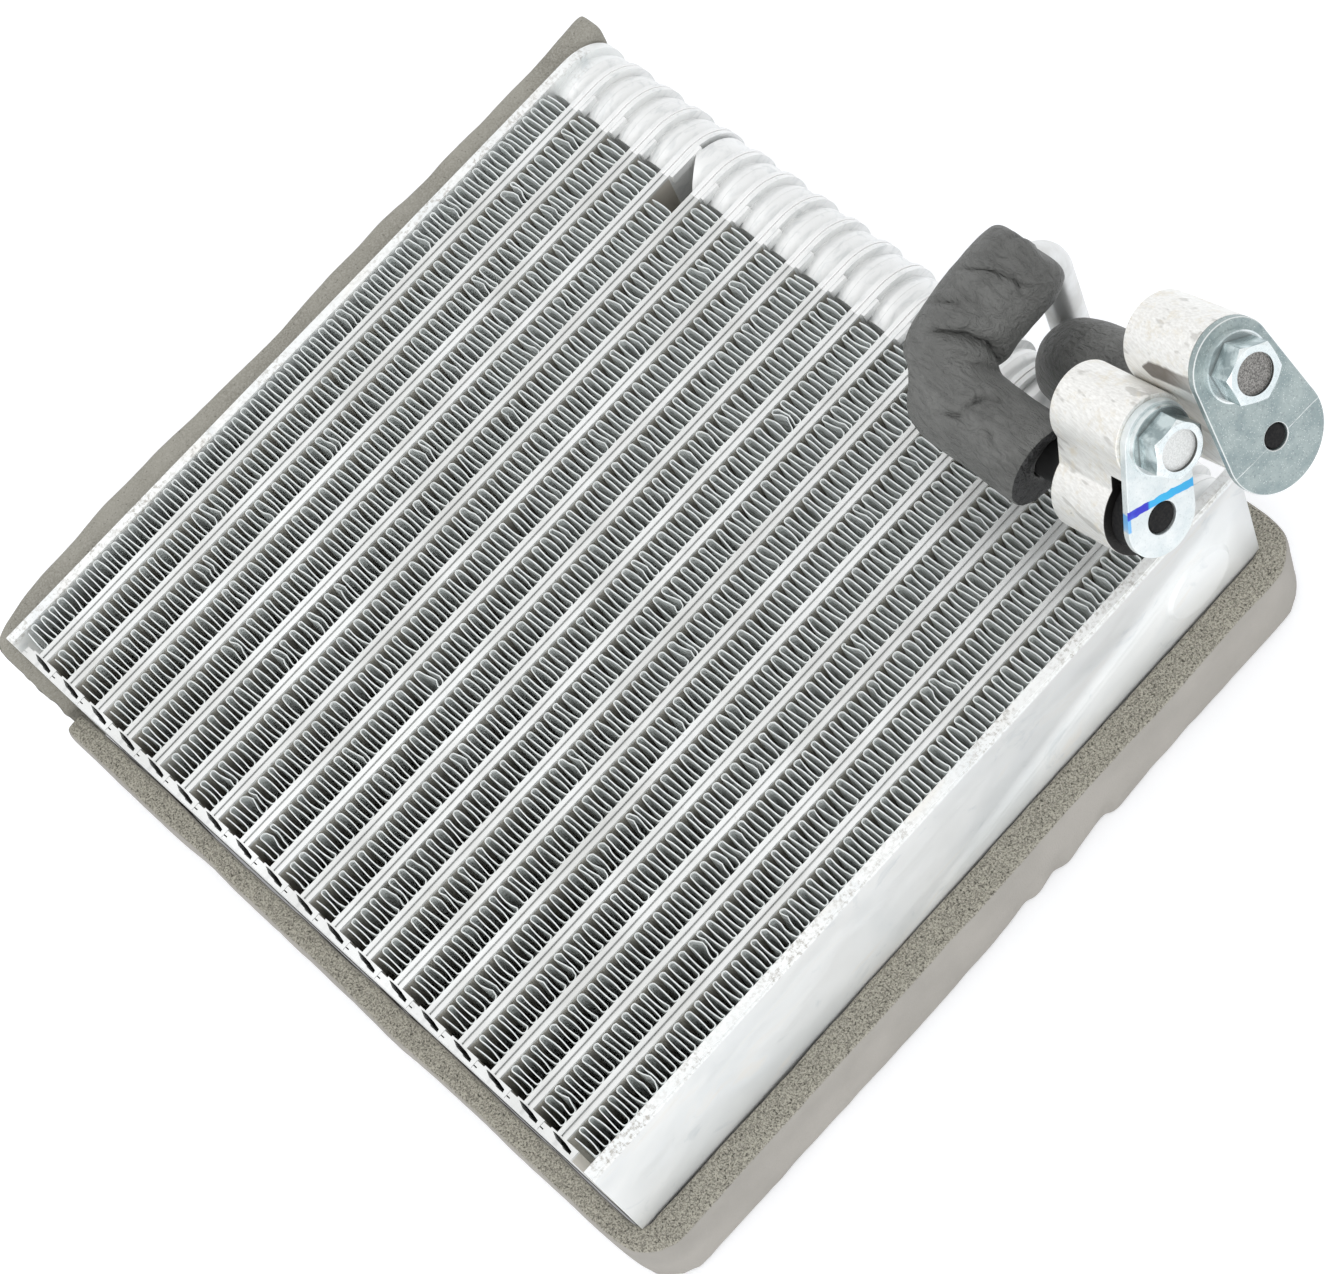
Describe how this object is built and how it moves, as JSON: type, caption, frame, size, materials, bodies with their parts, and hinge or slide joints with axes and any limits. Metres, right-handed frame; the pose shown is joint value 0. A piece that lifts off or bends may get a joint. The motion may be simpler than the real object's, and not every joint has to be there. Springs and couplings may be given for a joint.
{
  "type": "evaporator core",
  "caption": "Laminated plate-fin evaporator core with a lobed header tank, foam edge seals, two foam-sleeved pipes and connector blocks closed by bolted shipping caps.",
  "frame": {"origin": "centre of the whole part's footprint on its back face, which it lies on", "axes": "+X along the stack of tubes, towards the pipe connectors; +Y along the tubes, towards the header tank; +Z through the core, from its back face to its front face"},
  "size_m": [0.2568, 0.2444, 0.1478],
  "materials": {
    "tube_aluminium": "brazed, pale satin",
    "fin_aluminium": "thin rolled sheet, dull",
    "end_plate_aluminium": "rolled, softly reflecting, with light scuffs",
    "seal_foam": "open-cell foam, matte, with a smoother skin outside",
    "pipe_aluminium": "drawn, satin",
    "sleeve_foam": "closed-cell foam sleeve, matte, creased at the bends",
    "block_aluminium": "sawn extrusion, pale, faintly stained",
    "cap_zinc": "zinc-plated steel sheet, speckled",
    "bolt_zinc": "zinc-plated steel",
    "plug_rubber": "moulded black rubber"
  },
  "bodies": {
    "root": {"tube_01": "tube_aluminium", "tube_02": "tube_aluminium", "tube_03": "tube_aluminium", "tube_04": "tube_aluminium", "tube_05": "tube_aluminium", "tube_06": "tube_aluminium", "tube_07": "tube_aluminium", "tube_08": "tube_aluminium", "tube_09": "tube_aluminium", "tube_10": "tube_aluminium", "tube_11": "tube_aluminium", "tube_12": "tube_aluminium", "tube_13": "tube_aluminium", "tube_14": "tube_aluminium", "tube_15": "tube_aluminium", "tube_16": "tube_aluminium", "tube_17": "tube_aluminium", "tube_18": "tube_aluminium", "fin_01": "fin_aluminium", "fin_02": "fin_aluminium", "fin_03": "fin_aluminium", "fin_04": "fin_aluminium", "fin_05": "fin_aluminium", "fin_06": "fin_aluminium", "fin_07": "fin_aluminium", "fin_08": "fin_aluminium", "fin_09": "fin_aluminium", "fin_10": "fin_aluminium", "fin_11": "fin_aluminium", "fin_12": "fin_aluminium", "fin_13": "fin_aluminium", "fin_14": "fin_aluminium", "fin_15": "fin_aluminium", "fin_16": "fin_aluminium", "fin_17": "fin_aluminium", "fin_18": "fin_aluminium", "fin_19": "fin_aluminium", "left_end_plate": "end_plate_aluminium", "right_end_plate": "end_plate_aluminium", "left_foam_pad": "seal_foam", "right_foam_strip": "seal_foam", "pipe_1_boss": "pipe_aluminium", "pipe_1": "pipe_aluminium", "pipe_2": "pipe_aluminium", "sleeve_1": "sleeve_foam", "sleeve_2": "sleeve_foam", "block_1": "block_aluminium", "block_2": "block_aluminium", "cap_plate_1": "cap_zinc", "cap_plate_2": "cap_zinc", "cap_bolt_1": "bolt_zinc", "cap_bolt_2": "bolt_zinc", "port_plug_1": "plug_rubber", "port_plug_2": "plug_rubber"}
  },
  "joints": []
}
